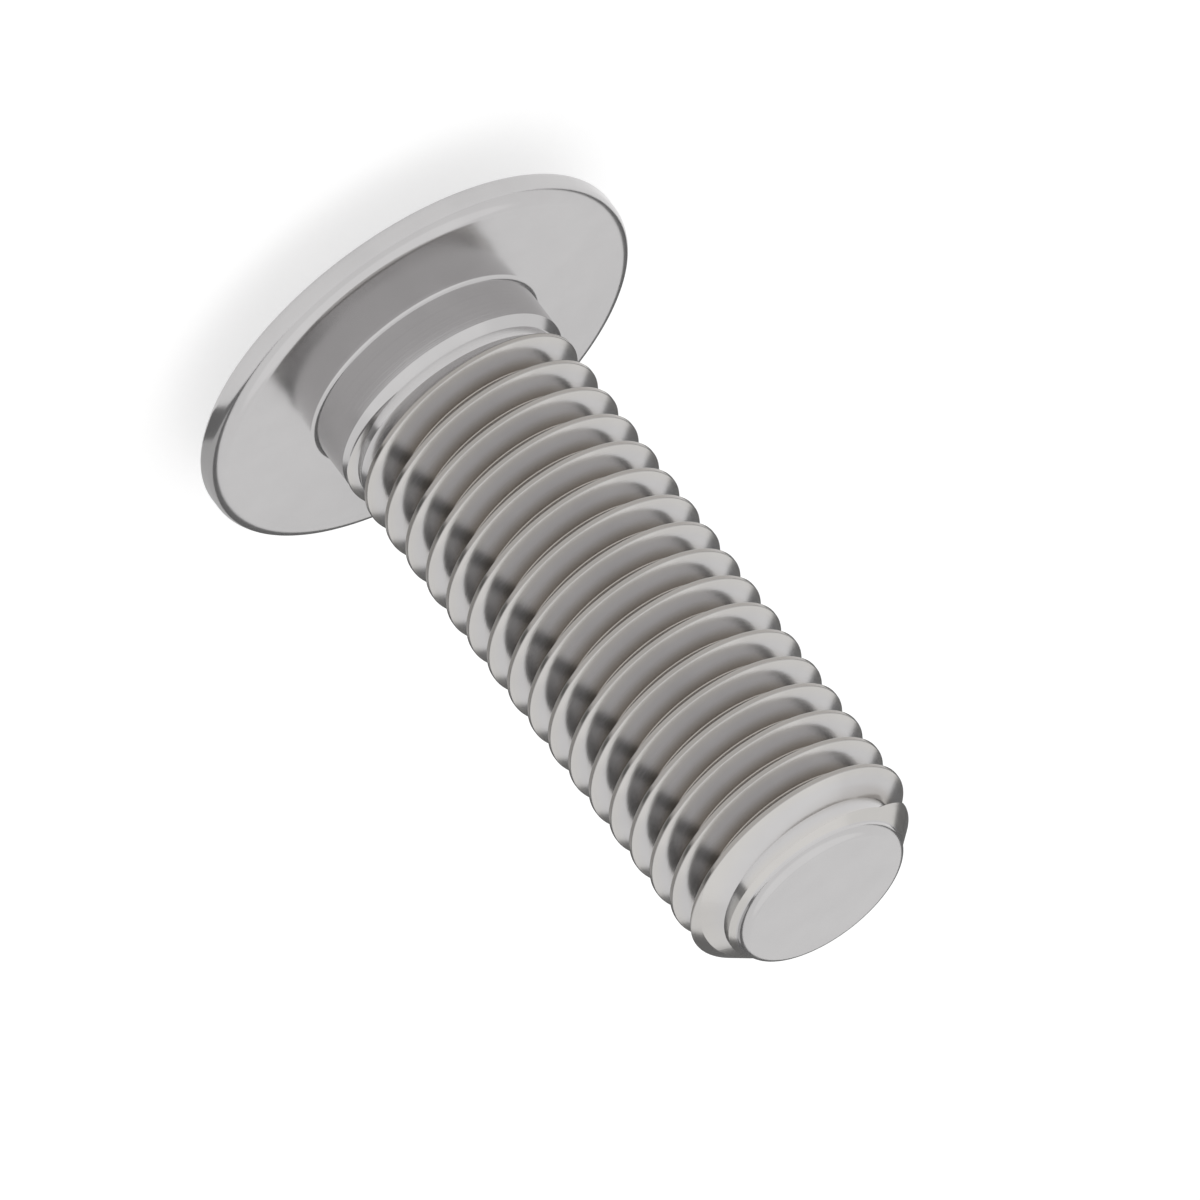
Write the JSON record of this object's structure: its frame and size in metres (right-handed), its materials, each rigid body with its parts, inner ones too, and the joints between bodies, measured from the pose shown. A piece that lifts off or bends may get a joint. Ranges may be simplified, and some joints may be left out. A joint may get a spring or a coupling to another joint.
{
  "type": "socket head flange screw",
  "caption": "Bright steel machine screw with a thin round flange under a low domed head, a hexagon socket, a plain neck and a fine thread to a coned point.",
  "frame": {"origin": "centre of the flat top of the head, on which the screw stands", "axes": "+Z along the screw's axis from the head to the point; the last whole thread crest is stated on the -Y side"},
  "size_m": [0.012, 0.012, 0.0201],
  "materials": {
    "steel": "bright, smooth, no plating"
  },
  "bodies": {
    "root": {"flange_screw": "steel"}
  },
  "joints": []
}
